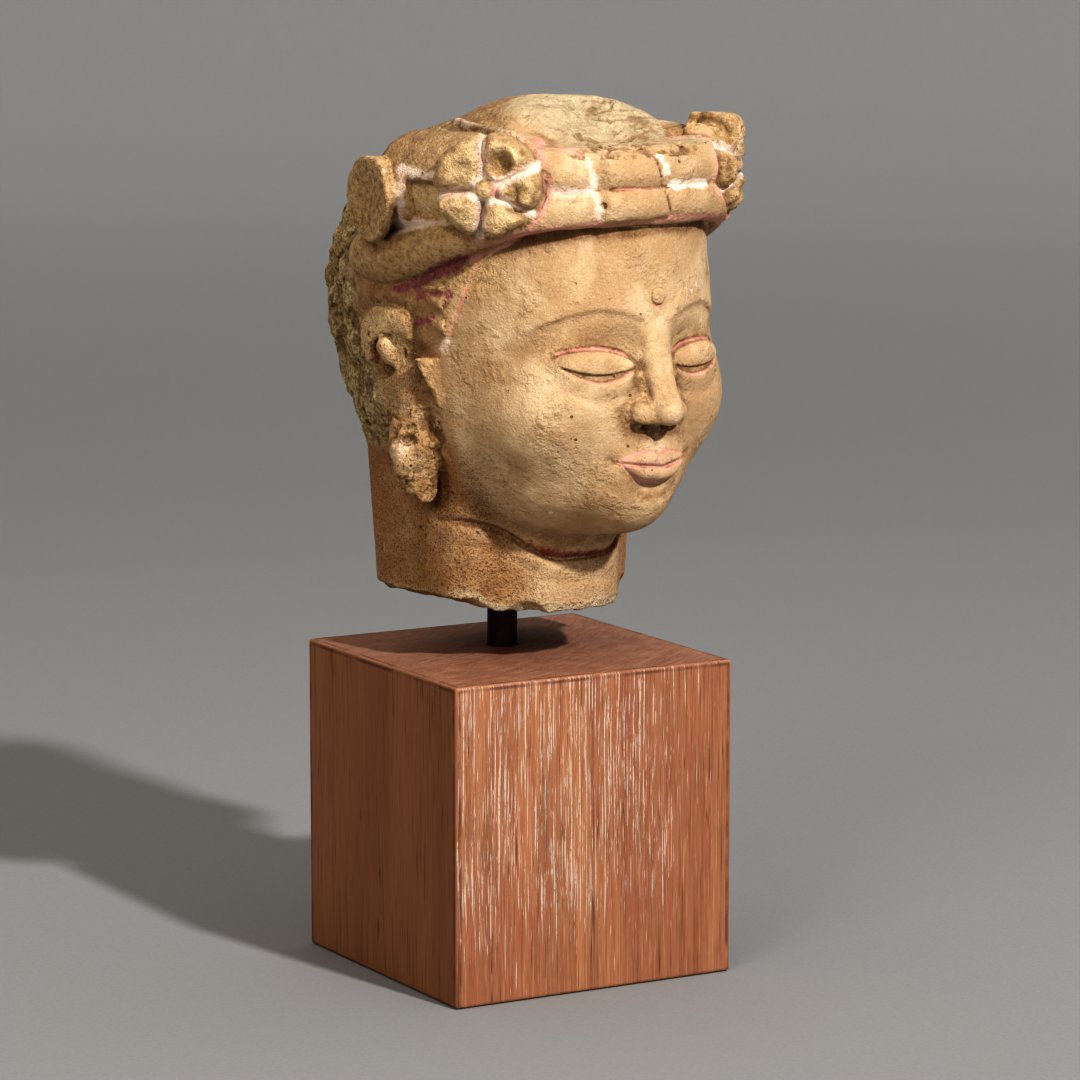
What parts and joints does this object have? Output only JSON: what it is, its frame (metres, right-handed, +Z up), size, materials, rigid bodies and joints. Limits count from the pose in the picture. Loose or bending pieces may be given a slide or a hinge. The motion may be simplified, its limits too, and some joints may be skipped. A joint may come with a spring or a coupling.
{
  "type": "mounted sculpture head",
  "caption": "Sculpted terracotta head of a bodhisattva with a flower diadem, broken at crown and neck, on a round steel post in a square wooden plinth.",
  "frame": {"origin": "centre of the plinth's square underside", "axes": "+Z up along the plinth and the post; -Y is the plinth's front, where the face looks, turned a little towards +X; X and Y lie along the plinth's sides"},
  "size_m": [0.1153, 0.1304, 0.2656],
  "materials": {
    "terracotta": "matte, traces of pink and white paint, dark brown patina on raised ornament",
    "plinth_wood": "satin red-brown wood with pale filled pores",
    "post_steel": "satin dark brown"
  },
  "bodies": {
    "root": {"head": "terracotta", "post": "post_steel", "plinth": "plinth_wood"}
  },
  "joints": []
}
